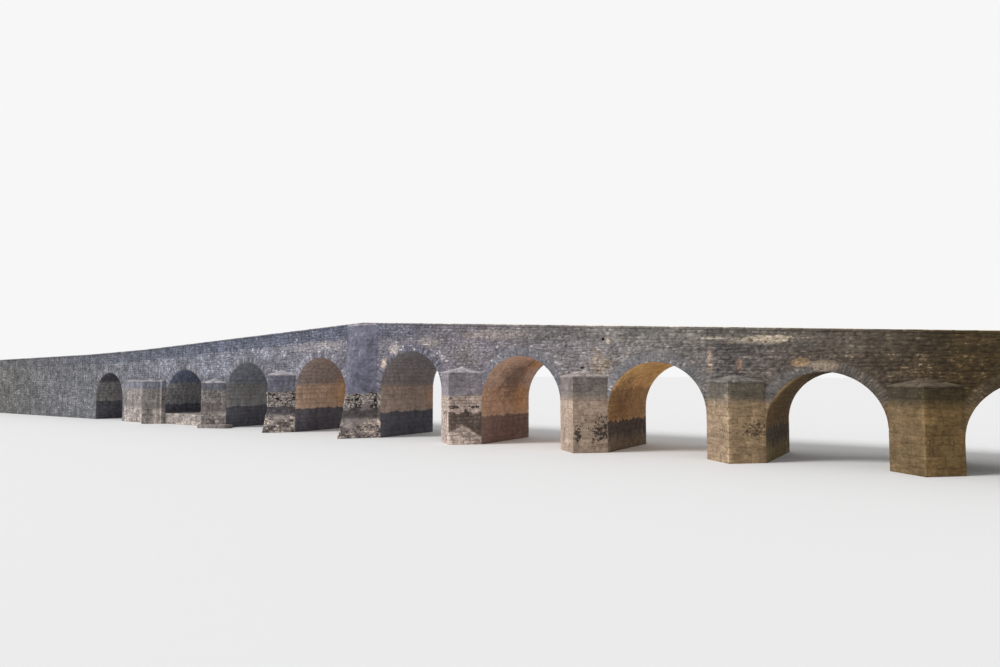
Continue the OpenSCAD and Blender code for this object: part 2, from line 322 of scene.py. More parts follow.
def raiseStones(name, pile, material):
    points = np.concatenate([p for p, tone in pile])
    tone = np.concatenate([tone for p, tone in pile])
    loops, sizes = stoneFaces(len(points), points.shape[1])
    return meshFrom(name, points.reshape(-1, 3), loops, sizes, tone.ravel(), material)


# The near side and the far one: name, whether it is mirrored, and random draws of its own
def bothSides(seed):
    return (("near", False, np.random.default_rng(seed)), ("far", True, np.random.default_rng(seed + 1)))


# Places on the bridge: each turns u, v and height h over the surface into x, y, z on the near side

def onFace(u, v, h):
    return u, -(faceY + h), v


def onParapet(u, depth, h):
    return u, -(faceY + h), topLine(u) - depth


def insideParapet(u, depth, h):
    return u, -(faceY - parapetT - h), topLine(u) - depth


# A ring: v is the distance from the arch's centre, u runs over it from left to right at the ring's middle
def onRing(arch):
    mean = (arch["radius"] + arch["outer"]) / 2

    def place(u, v, h):
        angle = math.pi - u / mean
        return arch["x"] + v * np.cos(angle), -(faceY + h), arch["spring"] + v * np.sin(angle)
    return place


# A vault: u runs across the bridge, v over the arch from left to right, h towards the centre
def onVault(arch):
    def place(u, v, h):
        angle = math.pi - v / arch["radius"]
        reach = arch["radius"] - h
        return arch["x"] + reach * np.cos(angle), u, arch["spring"] + reach * np.sin(angle)
    return place


# A wall across the bridge at x, facing +X or -X
def onCross(x, facing):
    def place(u, v, h):
        return x + facing * h, u, v
    return place


# A panel between four corners, u along its foot and v up it. Without a fold it is the even blend of the
# corners; a fold makes it the two triangles on one side of that diagonal and the other.
def onPanel(corners, fold=None):
    a, b, c, d = (np.array(p, float) for p in corners)
    width, height = np.linalg.norm(b - a), np.linalg.norm((c + d - a - b) / 2)
    across, up = (b + d - a - c) / 2, (c + d - a - b) / 2
    normal = np.cross(across, up)
    normal = normal / np.linalg.norm(normal)

    def place(u, v, h):
        s, t = (u / width)[..., None], (v / height)[..., None]
        point = (1 - s) * (1 - t) * a + s * (1 - t) * b + (1 - s) * t * c + s * t * d
        r, q = 1 - s, 1 - t
        if fold == "down":
            point = np.where(s + t <= 1, a + s * (b - a) + t * (c - a), d + r * (c - d) + q * (b - d))
        if fold == "up":
            point = np.where(s >= t, b + r * (a - b) + t * (d - b), c + s * (d - c) + q * (a - c))
        point = point + h[..., None] * normal
        return point[..., 0], point[..., 1], point[..., 2]
    return place, width, height


def panelStones(pile, corners, look, rng, mirror, fold=None, over=(0, 0), lines=None, foot=0.0):
    place, width, height = onPanel(corners, fold)
    if lines is None:
        lines = courseLines(rng, foot, height, look["height"])
    cells = courseCells(rng, -over[0] * mm, width + over[1] * mm, lines, look["length"])
    layCells(pile, cells, place, look, rng, mirror)


# Finishes

def linear(*rgb):
    return tuple((c / 255 / 12.92 if c <= 10 else ((c / 255 + 0.055) / 1.055) ** 2.4) for c in rgb) + (1.0,)


def addNode(tree, kind, inputs=None, **settings):
    node = tree.nodes.new("ShaderNode" + kind)
    for key, value in settings.items():
        setattr(node, key, value)
    for key, value in (inputs or {}).items():
        if isinstance(value, Value):
            tree.links.new(value.socket, node.inputs[key])
        else:
            node.inputs[key].default_value = value
    return node


# A number or colour inside a material: one output of a node. Arithmetic between values adds the maths nodes.
class Value:
    def __init__(self, node, output=0):
        self.tree, self.socket = node.id_data, node.outputs[output]

    def __add__(self, other):
        return maths("ADD", self, other)

    def __sub__(self, other):
        return maths("SUBTRACT", self, other)

    def __rsub__(self, other):
        return maths("SUBTRACT", other, self)

    def __mul__(self, other):
        return maths("MULTIPLY", self, other)

    def __truediv__(self, other):
        return maths("DIVIDE", self, other)


def maths(operation, a, b=0.0):
    tree = (a if isinstance(a, Value) else b).tree
    return Value(addNode(tree, "Math", {0: a, 1: b}, operation=operation))


# Bottom below low, top above high and a soft step between
def step(value, low, high, bottom=0.0, top=1.0):
    inputs = {"Value": value, "From Min": low, "From Max": high, "To Min": bottom, "To Max": top}
    return Value(addNode(value.tree, "MapRange", inputs, interpolation_type="SMOOTHSTEP"))


# 1 up to low, 0 from high on
def fade(value, low, high):
    return step(value, low, high, 1.0, 0.0)


def bandOf(value, low, high, soft):
    return step(value, low - soft, low + soft) * fade(value, high - soft, high + soft)


def blend(amount, a, b, kind="MIX"):
    tree = (amount if isinstance(amount, Value) else a).tree
    node = addNode(tree, "Mix", {0: amount, 6: a, 7: b}, data_type="RGBA", blend_type=kind)
    return Value(node, 2)


# Coats over a colour, each an amount and a tone
def painted(colour, *coats):
    for amount, tone in coats:
        colour = blend(amount, colour, tone)
    return colour


def noise(where, scale, detail=4.0, rough=0.55, stretch=(1, 1, 1)):
    mapped = Value(addNode(where.tree, "Mapping", {"Vector": where, "Scale": stretch}))
    inputs = {"Vector": mapped, "Scale": scale, "Detail": detail, "Roughness": rough}
    return Value(addNode(where.tree, "TexNoise", inputs), "Fac")


def split(vector):
    node = addNode(vector.tree, "SeparateXYZ", {0: vector})
    return [Value(node, axis) for axis in range(3)]


# A colour that changes along the bridge, from stops of (x in metres, red, green, blue)
def alongBridge(x, stops):
    inputs = {"Value": x, "From Min": leftEnd, "From Max": rightEnd}
    ramp = addNode(x.tree, "ValToRGB", {0: Value(addNode(x.tree, "MapRange", inputs))})
    elements = ramp.color_ramp.elements
    while len(elements) < len(stops):
        elements.new(0.5)
    for element, (at, *rgb) in zip(elements, stops):
        element.position = (at - leftEnd) / (rightEnd - leftEnd)
        element.color = linear(*rgb)
    return Value(ramp)


def newMaterial(name):
    material = bpy.data.materials.new(name)
    material.use_nodes = True
    material.node_tree.nodes.clear()
    return material, Value(addNode(material.node_tree, "TexCoord"), "Object")


# Dull stone with bumps of the given strength and depth
def stoneSurface(colour, bumps, strength, depth, rough):
    tree = colour.tree
    inputs = {"Strength": strength, "Distance": depth, "Height": bumps}
    normal = Value(addNode(tree, "Bump", inputs))
    inputs = {"Base Color": colour, "Normal": normal, "Roughness": rough, "Specular IOR Level": 0.25}
    addNode(tree, "OutputMaterial", {0: Value(addNode(tree, "BsdfPrincipled", inputs))})


# Tones along the bridge, each (x in metres, red, green, blue)
wallTones = ((-4.4, 104, 103, 102), (-1.2, 130, 132, 142), (1.2, 122, 116, 123), (2.05, 126, 120, 121),
             (2.4, 132, 126, 124), (3.1, 90, 81, 74), (3.7, 65, 52, 31))
parapetTones = ((-4.4, 102, 101, 103), (-1.2, 98, 102, 116), (0.5, 99, 102, 116), (1.3, 121, 114, 118),
                (2.3, 125, 120, 116), (3.7, 62, 50, 31))
ringTones = ((-2.5, 125, 124, 131), (0.07, 130, 127, 136), (0.9, 99, 97, 109), (1.6, 116, 114, 121),
             (2.4, 116, 114, 116), (3.2, 89, 84, 81), (3.42, 90, 83, 76), (3.7, 76, 65, 50),
             (4.0, 64, 50, 30))
# The vaults' inside tones are raised well above the stone's own colour as painted light thrown up into the
# arches; at the left end, by the first two arches, they are darkened as painted tree shade
insideTonesWithPaintedLight = ((-2.5, 88, 86, 94), (-1.4, 117, 126, 148), (-0.7, 136, 138, 144), (0.1, 167, 144, 132),
               (0.85, 132, 131, 133), (1.7, 217, 179, 153), (2.3, 232, 184, 122), (3.2, 60, 49, 27))
# The warm band on the vaults is partly the stone's warm stain and partly painted light reflected up into the
# arches
warmStainAndLightTones = ((-0.9, 147, 143, 141), (0.0, 220, 183, 153), (0.85, 164, 148, 139), (1.7, 204, 160, 124),
             (2.4, 152, 120, 79), (3.3, 75, 59, 39))
shadeTones = ((-1.2, 96, 95, 102), (-0.2, 100, 98, 105), (1.0, 89, 88, 97), (1.6, 148, 115, 98),
              (2.2, 72, 67, 67), (3.3, 90, 76, 60))
siltTones = ((-1.2, 96, 95, 102), (1.0, 89, 88, 97), (1.6, 148, 115, 98), (2.2, 118, 106, 91),
             (3.3, 130, 111, 66))
floodTones = ((-1.0, 97, 88, 86), (-0.3, 84, 80, 84), (0.5, 95, 89, 89), (1.25, 96, 83, 76))
lowTones = ((-1.2, 150, 143, 139), (0.45, 160, 149, 146), (1.35, 186, 167, 156), (2.03, 158, 139, 124),
            (2.8, 144, 124, 101), (3.6, 104, 85, 58))
capTones = ((-1.2, 158, 154, 158), (1.2, 184, 176, 180), (2.1, 164, 154, 150), (2.8, 123, 117, 112),
            (3.6, 89, 78, 63))
# The coping's pale tones, laid only on its upturned faces and top edge: painted light on its sunlit top
paintedLitCopingTones = ((-4.0, 150, 148, 146), (0.4, 190, 182, 168), (2.4, 184, 172, 150), (3.4, 150, 138, 112),
               (4.3, 138, 124, 96))
pierTones = ((-1.4, 122, 122, 132), (-0.31, 108, 108, 120), (1.24, 136, 129, 135), (2.03, 122, 114, 110),
             (2.82, 93, 88, 80), (3.58, 57, 50, 35))
limeTones = ((-1.2, 186, 184, 190), (1.2, 192, 184, 178), (2.3, 176, 166, 156), (3.4, 150, 128, 100))
# The pit tone is painted shade: the dark of pits, holes and deep gaps in the stone
pitShadeTone, limeTone = linear(36, 33, 33), linear(190, 180, 170)
footLime, footDark, evenFootTone = linear(222, 205, 190), linear(64, 58, 56), linear(172, 162, 157)

# Right flanks are painted brighter towards the right end: painted light on the flanks turned from the sun.
# The buttress on the crest's pier has two tones of its own, one for each flank: painted shade on the left
# flank and painted light on the right.
rightFlankPaintedLight = (1.28, 1.22, 1.08, 1.0)
crestPier = {"from": 0.300, "to": 0.596, "leftFlankShadeTone": linear(103, 102, 116),
             "rightFlankLightTone": linear(127, 126, 143)}

# How each kind of masonry weathers: mortar is its share of the stone's brightness, spread the change from
# stone to stone, mottle the strength of patches, streaks and runs that of level and upright stains, lime
# that of pale spots
weathering = ("mortar", "spread", "mottle", "streaks", "runs", "lime")
masonry = {"wall": (0.80, 0.16, 1.0, 0.20, 0.16, 0.9), "parapet": (0.84, 0.14, 0.9, 0.24, 0.12, 0.45),
           "ring": (0.80, 0.12, 0.9, 0.08, 0.14, 0.8), "inside": (0.85, 0.06, 0.45, 0.05, 0.10, 0.0),
           "pier": (0.84, 0.09, 0.75, 0.06, 0.15, 0.2), "cap": (0.90, 0.08, 0.8, 0.12, 0.0, 0.3),
           "coping": (0.80, 0.10, 0.8, 0.18, 0.0, 0.3)}

# Noises on the stone: scale, detail, roughness and stretch
patterns = {"broad": (4.5, 3.0), "blotch": (17.0, 4.0, 0.6, (0.8, 1, 1.3)),
            "mottle": (48.0, 5.0, 0.7, (0.7, 1, 1.5)), "grain": (230.0, 4.0, 0.65),
            "speck": (70.0, 3.0, 0.6, (0.8, 1, 1.2)),
            "level": (24.0, 5.0, 0.65, (0.8, 1, 4.4)), "upright": (34.0, 4.0, 0.6, (1.5, 1, 0.22))}

# Local marks on the faces: x and z of the middle, half size in x and z, colour, strength and raggedness
marks = {"runBelowDrain": (2.125, 0.46, 0.056, 0.076, (147, 131, 114), 0.7, 8.0),
         "lightByDrain": (2.176, 0.574, 0.013, 0.013, (190, 172, 150), 0.7, 5.0),
         "whiteBloom": (2.96, 0.564, 0.16, 0.016, (196, 180, 158), 0.85, 9.0),
         "bloomStart": (2.72, 0.576, 0.09, 0.007, (184, 172, 158), 0.8, 7.0),
         "rustOverThirdArch": (-0.91, 0.672, 0.05, 0.03, (168, 116, 80), 0.6, 7.0),
         "streakBySeventhPier": (2.700, 0.475, 0.015, 0.060, (170, 148, 132), 0.75, 4.0),
         "darkPastSeventhPier": (2.83, 0.49, 0.13, 0.075, (74, 70, 71), 0.5, 8.0),
         "paleOverCrestPier": (0.73, 0.560, 0.040, 0.034, (200, 190, 182), 0.7, 9.0),
         "paleByFifthArch": (1.00, 0.600, 0.07, 0.030, (184, 174, 168), 0.6, 9.0),
         "tanByCrestPier": (0.640, 0.478, 0.020, 0.032, (196, 176, 158), 0.8, 7.0),
         "whiteBar": (0.977, 0.583, 0.025, 0.004, (226, 220, 214), 0.8, 3.0),
         "paleBySixthArch": (1.50, 0.628, 0.17, 0.024, (168, 157, 151), 0.65, 9.0),
         "paleOverFifthPier": (1.26, 0.52, 0.12, 0.06, (160, 150, 145), 0.4, 9.0),
         "paleOverFourthArch": (0.0, 0.585, 0.22, 0.028, (182, 176, 178), 0.65, 9.0),
         "lightBlock": (-0.164, 0.640, 0.012, 0.010, (200, 192, 178), 0.7, 3.0),
         "lightBlockTwo": (0.10, 0.605, 0.02, 0.012, (196, 186, 172), 0.7, 3.0),
         "rustBySeventhPier": (2.839, 0.448, 0.014, 0.026, (160, 126, 102), 0.7, 9.0),
         "ochreOverEighthArch": (3.10, 0.458, 0.032, 0.018, (178, 146, 112), 0.65, 8.0),
         "paleCrownOfEighth": (3.20, 0.440, 0.05, 0.024, (160, 142, 122), 0.55, 5.0),
         # A dark hole over the sixth pier, painted on the face: painted shade in the hole
         "paintedShadeInHoleOverSixthPier": (2.03, 0.436, 0.012, 0.007, (30, 26, 26), 0.95, 2.5)}

# Hollows in the dry piers, given in the same way: dark marks painted as shade in hollows of the stone; the
# last is a pale patch under the seventh cap
hollowShades = {"overFifthBand": (1.264, 0.214, 0.020, 0.009, (40, 36, 36), 0.85, 5.0),
           "byFifthEdge": (1.358, 0.215, 0.020, 0.007, (40, 36, 36), 0.9, 5.0),
           "belowFifthBand": (1.316, 0.192, 0.009, 0.012, (44, 40, 39), 0.85, 4.0),
           "fifthLeftFlank": (1.180, 0.180, 0.030, 0.010, (52, 46, 44), 0.85, 9.0),
           "fifthTop": (1.250, 0.262, 0.012, 0.008, (52, 48, 48), 0.8, 6.0),
           "bySixthEdge": (2.145, 0.120, 0.024, 0.050, (44, 39, 38), 0.85, 9.0),
           "bySixthNose": (2.052, 0.100, 0.011, 0.030, (44, 39, 38), 0.85, 6.0),
           "bySeventhEdge": (2.920, 0.150, 0.028, 0.026, (50, 43, 37), 0.7, 12.0),
           "underSeventhCap": (2.80, 0.300, 0.022, 0.012, (170, 150, 132), 0.6, 5.0)}

# Marks on the vaults and pier sides: middle and reach in metres, colour, strength. The gold patch under the
# seventh arch and the pale rim of the eighth are painted light, the shade under the seventh is painted
# shade, and the rest are stains and warm patches of the stone
# A golden patch under the seventh arch: painted light on the sunlit soffit
vaultMarks = {"paintedLightUnderSeventh": ((2.33, 0.17, 0.45), 0.16, (236, 184, 108), 0.85),
              "brightUnderSixth": ((1.53, 0.15, 0.47), 0.12, (220, 166, 106), 0.75),
              "darkUnderSixth": ((1.43, 0.04, 0.38), 0.18, (110, 90, 79), 0.7),
              "goldUnderSixth": ((1.385, 0.17, 0.24), 0.14, (214, 158, 106), 0.5),
              "goldUnderFourth": ((-0.172, 0.22, 0.25), 0.20, (228, 172, 116), 0.5),
              "rustUnderFifth": ((0.611, 0.24, 0.24), 0.09, (200, 150, 118), 0.5),
              "shadeUnderSeventh": ((2.171, -0.16, 0.25), 0.23, (130, 99, 66), 0.75),
              # A pale rim along the eighth arch's intrados: painted light where its edge stones are lit from
              # below
              "paintedLitRimOfEighth": ((3.03, -0.26, 0.34), 0.12, (206, 174, 128), 0.8)}


def applyMarks(colour, at, ragged, found=marks):
    for markX, markZ, sizeX, sizeZ, rgb, strength, stray in found.values():
        dx, dz = (at.x - markX) / sizeX, (at.z - markZ) / sizeZ
        far = dx * dx + dz * dz + ragged * stray
        colour = blend(step(far, 0.5, 1.5, strength, 0.0), colour, linear(*rgb))
    return colour


def applyVaultMarks(colour, at):
    for middle, reach, rgb, strength in vaultMarks.values():
        inputs = {0: at.where, 1: middle}
        away = Value(addNode(colour.tree, "VectorMath", inputs, operation="DISTANCE"), "Value")
        away = away / reach + at.ragged * 1.2
        colour = blend(step(away, 0.2, 1.1, strength, 0.0), colour, linear(*rgb))
    return colour


# Levels of the stained bands on the piers, in metres
levels = {"paleTop": 0.280, "darkTop": 0.183, "darkFoot": 0.124, "vaultShade": 0.158, "vaultWarm": 0.328,
          "siltTop": 0.075}

# Stretches over which the masonry changes along the bridge, each from one x to another, in metres
turns = {"toThird": (-0.9, -0.6), "darkToThird": (-1.0, -0.6), "onThird": (-0.7, -0.5),
         "lowWall": (-1.5, -1.3), "flooded": (-1.3, -0.5), "leftFlank": (0.8, 0.9), "pastBare": (0.7, 0.9),
         "toFifth": (0.8, 1.0), "pastFifth": (1.35, 1.5), "toDry": (1.45, 1.75), "dryPits": (1.6, 1.75),
         "dripping": (1.9, 2.1), "paintedLitFlanks": (1.8, 3.5), "toMiddle": (-1.6, -0.6), "calmRuns": (0.2, 1.0),
         "evenRing": (1.1, 1.5), "toSeventh": (2.3, 2.7), "toEighth": (2.6, 3.0), "toEnd": (2.8, 3.3)}


def past(x, turn, before=0.0, after=1.0):
    return step(x, *turns[turn], before, after)


# On the fifth pier the pale foot is a tent: where its top is, how high, and how steeply its sides fall
paleTent = {"x": 1.30, "z": 0.112, "slope": 0.75}


# The piers have a dark band, with pale, pitted stone above and below it; past x = 1.6 they have no dark
# band. Right of x = 0.8 a left flank stays pale.
def footZones(colour, at, bed):
    x, height, top, band = at.x, at.height, levels["paleTop"], levels["darkTop"]
    flooded = alongBridge(x, floodTones)
    banded = past(x, "toDry", 1.0, 0.0)
    border = step((height - top) / past(x, "toDry", 0.010, 0.032), -1.0, 1.0)
    colour = blend(border, alongBridge(x, lowTones), colour)
    tent = paleTent["z"] - maths("ABSOLUTE", x - paleTent["x"]) * paleTent["slope"]
    foot = past(x, "toFifth") * tent + past(x, "toFifth", levels["darkFoot"], 0.0)
    rise = height - foot
    unsheltered = maths("MAXIMUM", step(at.facing, -0.45, -0.25), past(x, "leftFlank", 1.0, 0.0))
    flood = step(rise, -0.012, 0.012) * fade(height, band - 0.006, band + 0.006) * banded
    colour = blend(flood * past(x, "flooded", 0.35, 0.97) * unsheltered, colour, flooded)
    inBand = bandOf(height, band, top, 0.004) * past(x, "pastFifth", 1.0, 0.0)
    if bed:
        # In the band the mortar between the eroded stones is painted near black: painted shade in the deep
        # gaps
        empty = past(x, "onThird", 0.3, 1.0) * step(at.ragged, -0.12, 0.06, 1.0, 0.35)
        return blend(inBand * empty, colour, pitShadeTone)
    bare = past(x, "onThird") * past(x, "pastBare", 0.7, 0.0) * inBand
    own = at.ragged + (at.tone - 0.5) * 0.22 if at.tone else at.ragged
    below = step(rise, -0.014, 0.010, 1.0, 0.0) * banded
    paleFoot = step(own, 0.0, 0.06, 0.0, 0.9) * past(x, "toThird", 0.25, 1.0)
    paleFoot = paleFoot * past(x, "toFifth", 1.0, 0.55) * below
    darkFoot = step(own, -0.08, -0.01, 0.8, 0.0) * past(x, "toFifth", 1.0, 0.3)
    darkFoot = darkFoot * past(x, "darkToThird", 0.25, 1.0) * below
    # Pits are dark specks painted in: painted shade in the pits of the stone
    deep = step(at.speck, 0.56, 0.62) * inBand * past(x, "toFifth", 1.0, 0.35)
    low = step(at.speck, 0.57, 0.63) * step(height, 0.12, 0.15, 0.75, 0.0)
    shadedPits = maths("MAXIMUM", deep, low * past(x, "toFifth", 1.0, 0.4)) * banded
    dry = step(at.speck, 0.60, 0.64) * bandOf(height, 0.08, 0.19, 0.03)
    shadedPits = maths("MAXIMUM", shadedPits, dry * past(x, "dryPits", 0.0, 0.85))
    return painted(colour, (bare, limeTone), (past(x, "toThird", 0.65, 0.0) * below, evenFootTone),
                   (paleFoot, footLime), (darkFoot, footDark),
                   (step(own, -0.10, 0.0, 0.8, 0.0) * bare, flooded), (shadedPits, pitShadeTone))


def wallTone(upper, at):
    inLow = past(at.x, "lowWall") * fade(at.z, 0.27, 0.31)
    return blend(inLow, applyMarks(upper, at, at.ragged), footZones(upper, at, False))


# The colour of a kind of masonry before it weathers
def plainTone(zone, bed, at):
    tones = {"parapet": parapetTones, "coping": parapetTones, "ring": ringTones, "pier": pierTones}
    upper = alongBridge(at.x, tones.get(zone, wallTones))
    if zone in ("wall", "parapet", "ring"):
        return wallTone(upper, at)
    if zone == "pier":
        # On the crest's pier each flank gets a tone of its own: painted shade on the left flank and painted
        # light on the right
        right = step(at.facing, 0.15, 0.65)
        crest = bandOf(at.x, crestPier["from"], crestPier["to"], 0.004)
        upper = blend(crest, upper, blend(right, crestPier["leftFlankShadeTone"], crestPier["rightFlankLightTone"]))
        # Right flanks towards the right end are brightened: painted light
        paintedLitFlank = right * past(at.x, "paintedLitFlanks")
        onPier = blend(paintedLitFlank, footZones(upper, at, bed), rightFlankPaintedLight, "MULTIPLY")
        return applyMarks(onPier, at, at.spotted, hollowShades)
    if zone == "inside":
        shade, silt = levels["vaultShade"], levels["siltTop"]
        # A warm band over the vault: partly stain, partly painted reflected light
        warm = bandOf(at.height, shade, levels["vaultWarm"], 0.012) * 0.85
        colour = blend(warm, alongBridge(at.x, insideTonesWithPaintedLight), alongBridge(at.x, warmStainAndLightTones))
        colour = applyVaultMarks(colour, at)
        drip = at.drip * past(at.x, "dripping")
        shaded = step(at.height + drip * 0.25, shade - 0.004, shade + 0.004, 0.96, 0.0)
        silted = fade(at.height + drip, silt - 0.025, silt + 0.025)
        below = blend(silted, alongBridge(at.x, shadeTones), alongBridge(at.x, siltTones))
        atFace = step(maths("ABSOLUTE", at.y), faceY - 1.5 * mm, faceY - 0.5 * mm)
        return blend(atFace, blend(shaded, colour, below), wallTone(upper, at))
    if zone == "cap":
        # Faces of a cap not turned up are darkened towards the wall's tone: painted shade on the caps' sides
        # and under their rims
        return blend(step(at.up, 0.1, 0.5, 0.35, 0.0), alongBridge(at.x, capTones), upper)
    # On the coping, faces turned up and each slab's top edge, marked by a tone past 1, are painted pale:
    # painted light on its top
    pale = step(at.up, 0.2, 0.7)
    if not bed:
        pale = maths("MAXIMUM", pale, step(at.tone, 1.2, 1.9))
    return blend(pale, upper, alongBridge(at.x, paintedLitCopingTones))


# One maker for every stone finish. Bed is the mortar under the stones, which has no tone of its own. A tone
# from 0 to 1 is a stone's own brightness, and past 1 it is a paler edge: worn along the cutwater noses, and
# painted light along the coping's top.
def stoneFinish(name, zone, bed=False):
    look = dict(zip(weathering, masonry[zone]))
    material, where = newMaterial(name)
    tree, patchy, mortar = where.tree, look["mottle"], look["mortar"]
    broad, blotch, mottle, grain, speck, level, upright = (noise(where, *p) for p in patterns.values())
    wide, fine = blotch - 0.5, mottle - 0.5
    x, y, z = split(where)
    facing, _, up = split(Value(where.socket.node, "Normal"))
    tone = None if bed else Value(addNode(tree, "Attribute", attribute_name="tone"), "Fac")
    height = z + wide * 0.045 + fine * (0.006 if zone == "inside" else 0.035)
    at = SimpleNamespace(where=where, x=x, y=y, z=z, facing=facing, up=up, height=height, speck=speck,
                         tone=tone, ragged=wide + fine, spotted=(speck - 0.5) * 1.6 + fine,
                         drip=(upright - 0.5) * 0.16)
    colour = plainTone(zone, bed, at)
    lines = step(level, 0.33, 0.67) - 0.5
    if zone == "pier":
        lines = lines * past(x, "toSeventh", 1.0, 3.0)
    run = (step(upright, 0.35, 0.65) - 0.5) * past(x, "calmRuns", 1.0, 0.45) * past(x, "toMiddle", 1.6, 1.0)
    gain = step(grain, 0.25, 0.75, 0.92, 1.06)
    for pattern, low, high, depth in ((broad, 0.32, 0.68, 0.13), (blotch, 0.30, 0.70, 0.20),
                                      (mottle, 0.32, 0.68, 0.22), (speck, 0.36, 0.64, 0.18)):
        gain = gain * step(pattern, low, high, 1 - depth * patchy, 1 + depth * patchy)
    gain = gain * (lines * (2 * look["streaks"]) + 1.0) * (run * (2 * look["runs"]) + 1.0)
    if bed:
        gain = gain * step(blotch, 0.36, 0.60, mortar - 0.14 * patchy, mortar + 0.10 * patchy)
    else:
        own = step(tone, 0.0, 1.0) - 0.5
        if zone == "ring":
            own = own + (step(tone, 0.40, 0.62) - 0.5) * past(x, "evenRing", 1.5, 0.0)
            own = own * past(x, "toEighth", 1.0, 0.5)
        gain = gain * (own * (2 * look["spread"]) + 1.0) * step(tone, 1.0, 2.0, 1.0, 1.25)
        spots = step(speck, 0.56, 0.62) * step(blotch, 0.46, 0.58) * step(tone, 0.3, 0.9, 0.3, 1.0)
        spots = spots * past(x, "toMiddle", 0.6, 1.0) * past(x, "toEnd", 1.0, 0.6)
        colour = blend(spots * look["lime"], colour, alongBridge(x, limeTones))
    gain = Value(addNode(tree, "CombineXYZ", {0: gain, 1: gain, 2: gain}))
    colour = blend(1.0, colour, gain, "MULTIPLY")
    if zone in ("wall", "parapet", "ring"):
        # Dark specks over the walls: painted shade in small holes of the stone
        colour = blend(step(speck, 0.34, 0.40, 0.55, 0.0), colour, pitShadeTone)
    stoneSurface(colour, grain * 0.5 + mottle * 1.6, 0.85, 1.6 * patchy * mm, 0.92)
    return material


# Worn paving: rounded cells over gravel
def roadFinish(name):
    material, where = newMaterial(name)
    tree = where.tree
    flat = Value(addNode(tree, "Mapping", {"Vector": where, "Scale": (1.0, 1.0, 0.1)}))
    cell = {"Vector": flat, "Scale": 62.0, "Randomness": 0.8}
    edge = Value(addNode(tree, "TexVoronoi", cell, feature="DISTANCE_TO_EDGE"), "Distance")
    tint = Value(addNode(tree, "TexVoronoi", cell), "Color")
    tint = Value(addNode(tree, "SeparateColor", {0: tint}))
    mottle, grain = noise(where, 9.0, 5.0), noise(where, 240.0, 4.0)
    colour = painted(blend(tint, linear(112, 106, 98), linear(146, 140, 132)),
                     (step(mottle, 0.35, 0.7, 0.0, 0.6), linear(98, 90, 78)),
                     (step(edge, 0.02, 0.09, 0.75, 0.0), linear(64, 58, 50)),
                     (step(grain, 0.3, 0.75, 0.0, 0.25), linear(160, 152, 140)))
    stoneSurface(colour, step(edge, 0.0, 0.22) + grain * 0.35, 0.9, 1.6 * mm, 0.9)
    return material


finishes = {zone: stoneFinish(zone + "Stone", zone) for zone in masonry}
beds = {zone: stoneFinish(zone + "Mortar", zone, bed=True) for zone in masonry if zone != "ring"}
paving = roadFinish("wornPaving")


def dressNodes():
    for name, node in nodes.items():
        zone = "wall"
        if name.startswith(("arch_", "pier_")) or "abutment" in name:
            zone = "inside"
        if name.startswith(("cutwater_", "buttress")) or name.endswith(("_apron", "_footing", "_sill")):
            zone = "pier"
        if name.startswith("parapets_"):
            zone = "parapet"
        if name.startswith("copings_"):
            zone = "coping"
        if name == "cutwater_caps":
            zone = "cap"
        node.data.materials.clear()
        node.data.materials.append(paving if name == "roadway" else beds[zone])


dressNodes()
print("finishes made")


# Face walls

def insideArches(points, margin):
    found = np.zeros(points.shape[:-1], bool)
    for arch in arches:
        dx, dz = points[..., 0] - arch["x"], points[..., 1] - arch["spring"]
        above = np.hypot(dx, dz) < arch["outer"] + margin
        below = np.abs(dx) < arch["radius"] + margin
        found |= np.where(dz >= 0, above, below)
    return found


# A point inside a ring moves out from its centre, and one inside an opening moves sideways to its edge
def clearOfArches(outline, margin):
    u, v = outline[..., 0].copy(), outline[..., 1].copy()
    for arch in arches:
        dx, dz = u - arch["x"], v - arch["spring"]
        over = dz >= 0
        reach = np.where(over, arch["outer"], arch["radius"]) + margin
        away = np.maximum(np.where(over, np.hypot(dx, dz), np.abs(dx)), 0.1 * mm)
        grow = np.where(away < reach, reach / away, 1)
        u, v = arch["x"] + dx * grow, arch["spring"] + np.where(over, dz * grow, dz)
    return np.stack([u, v], -1)


def hiddenByPiers(middle):
    hidden = np.zeros(len(middle), bool)
    for name in ["buttress_4", "pier_1_apron"] + cutwaters[1:]:
        low, high = boxOf(name)
        inside = (middle[:, 0] > low[0] + 8 * mm) & (middle[:, 0] < high[0] - 8 * mm)
        hidden |= inside & (middle[:, 1] < high[2] - 6 * mm)
    return hidden


# Courses wander a little above the foot. A stone that an arch or the deck cuts to less than the kept share
# of its area, or thinner than the least, is left out. Lengths are in millimetres.
wallFit = {"wander": 2.4, "levelFoot": 15, "archGap": 0.8, "deckGap": 0.4, "keptShare": 0.34, "least": 4.5}


